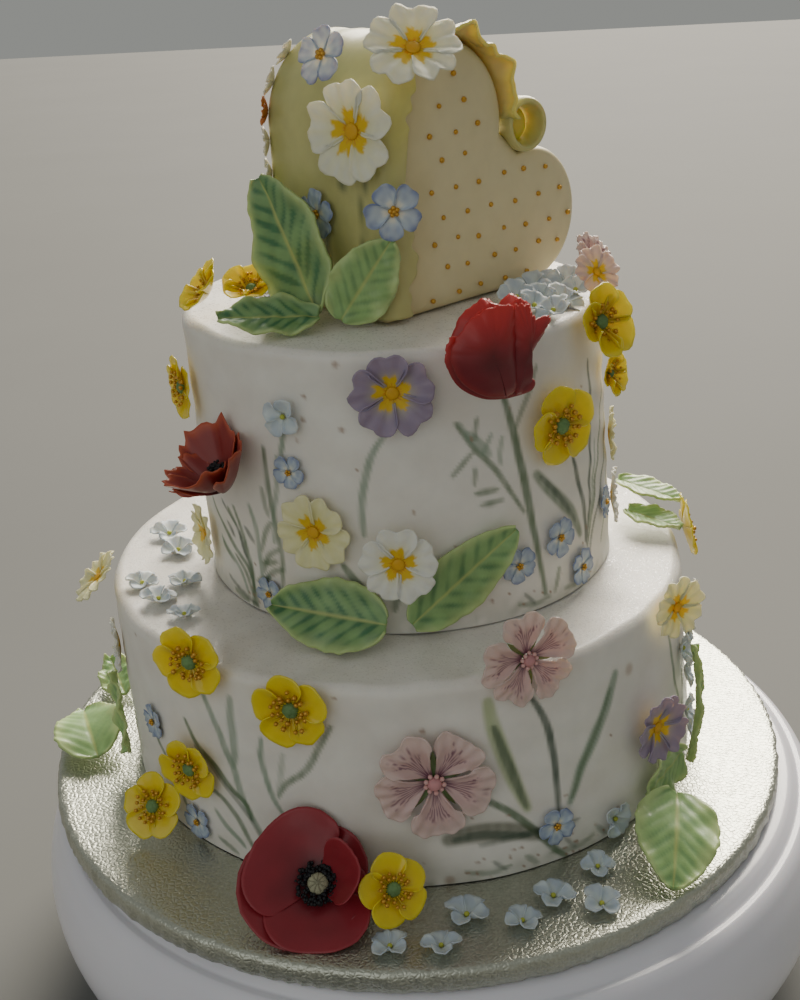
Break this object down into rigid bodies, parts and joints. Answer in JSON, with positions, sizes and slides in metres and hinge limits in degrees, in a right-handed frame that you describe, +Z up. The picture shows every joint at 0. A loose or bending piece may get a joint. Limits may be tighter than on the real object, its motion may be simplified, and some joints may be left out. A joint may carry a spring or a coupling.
{
  "type": "wedding cake",
  "caption": "Tiered round wedding cake in white icing with sugar flowers and leaves, a dotted heart cake on top, on a silver drum and a round white stand.",
  "frame": {"origin": "middle of the stand's underside, which is the part's base", "axes": "+Z up, -Y towards the front that the picture shows, +X to the right of the front"},
  "size_m": [0.388, 0.388, 0.4538],
  "materials": {
    "stand": "moulded white plastic, glossy",
    "foil": "embossed silver foil",
    "icing": "rolled white icing with fine sugar glitter",
    "cream_icing": "rolled cream icing with gold beads",
    "yellow_icing": "rolled pale yellow icing",
    "buttercup": "glazed yellow sugar paste",
    "mallow": "dusted pink sugar paste",
    "poppy_crimson": "dusted crimson sugar paste",
    "poppy_scarlet": "dusted scarlet sugar paste",
    "primrose_white": "white sugar paste",
    "primrose_cream": "cream sugar paste",
    "primrose_violet": "violet sugar paste",
    "forget_me_not": "pale blue sugar paste",
    "leaf": "green sugar paste with brushed veins"
  },
  "bodies": {
    "root": {"stand": "stand", "drum": "foil", "tier_bottom": "icing", "tier_middle": "icing", "heart": "cream_icing", "heart_drape": "yellow_icing", "buttercup_1": "buttercup", "buttercup_2": "buttercup", "buttercup_3": "buttercup", "buttercup_4": "buttercup", "buttercup_5": "buttercup", "buttercup_6": "buttercup", "buttercup_7": "buttercup", "buttercup_8": "buttercup", "buttercup_9": "buttercup", "buttercup_10": "buttercup", "buttercup_11": "buttercup", "buttercup_12": "buttercup", "primrose_1": "primrose_violet", "primrose_2": "primrose_violet", "primrose_3": "primrose_cream", "primrose_4": "primrose_white", "primrose_5": "primrose_cream", "primrose_6": "primrose_white", "primrose_7": "primrose_cream", "primrose_8": "primrose_white", "primrose_9": "primrose_cream", "primrose_10": "primrose_cream", "primrose_11": "primrose_cream", "primrose_12": "primrose_white", "primrose_13": "primrose_white", "primrose_14": "primrose_white", "primrose_15": "primrose_white", "primrose_16": "primrose_cream", "mallow_1": "mallow", "mallow_2": "mallow", "mallow_3": "mallow", "mallow_4": "mallow", "forget_me_not_1": "forget_me_not", "forget_me_not_2": "forget_me_not", "forget_me_not_3": "forget_me_not", "poppy_1": "poppy_crimson", "poppy_2": "poppy_scarlet", "poppy_3": "poppy_crimson", "poppy_4": "poppy_scarlet", "leaf_1": "leaf", "leaf_2": "leaf", "leaf_3": "leaf", "leaf_4": "leaf", "leaf_5": "leaf", "leaf_6": "leaf", "leaf_7": "leaf", "leaf_8": "leaf", "leaf_9": "leaf", "leaf_10": "leaf", "leaf_11": "leaf", "leaf_12": "leaf", "leaf_13": "leaf", "leaf_14": "leaf", "leaf_15": "leaf"}
  },
  "joints": []
}
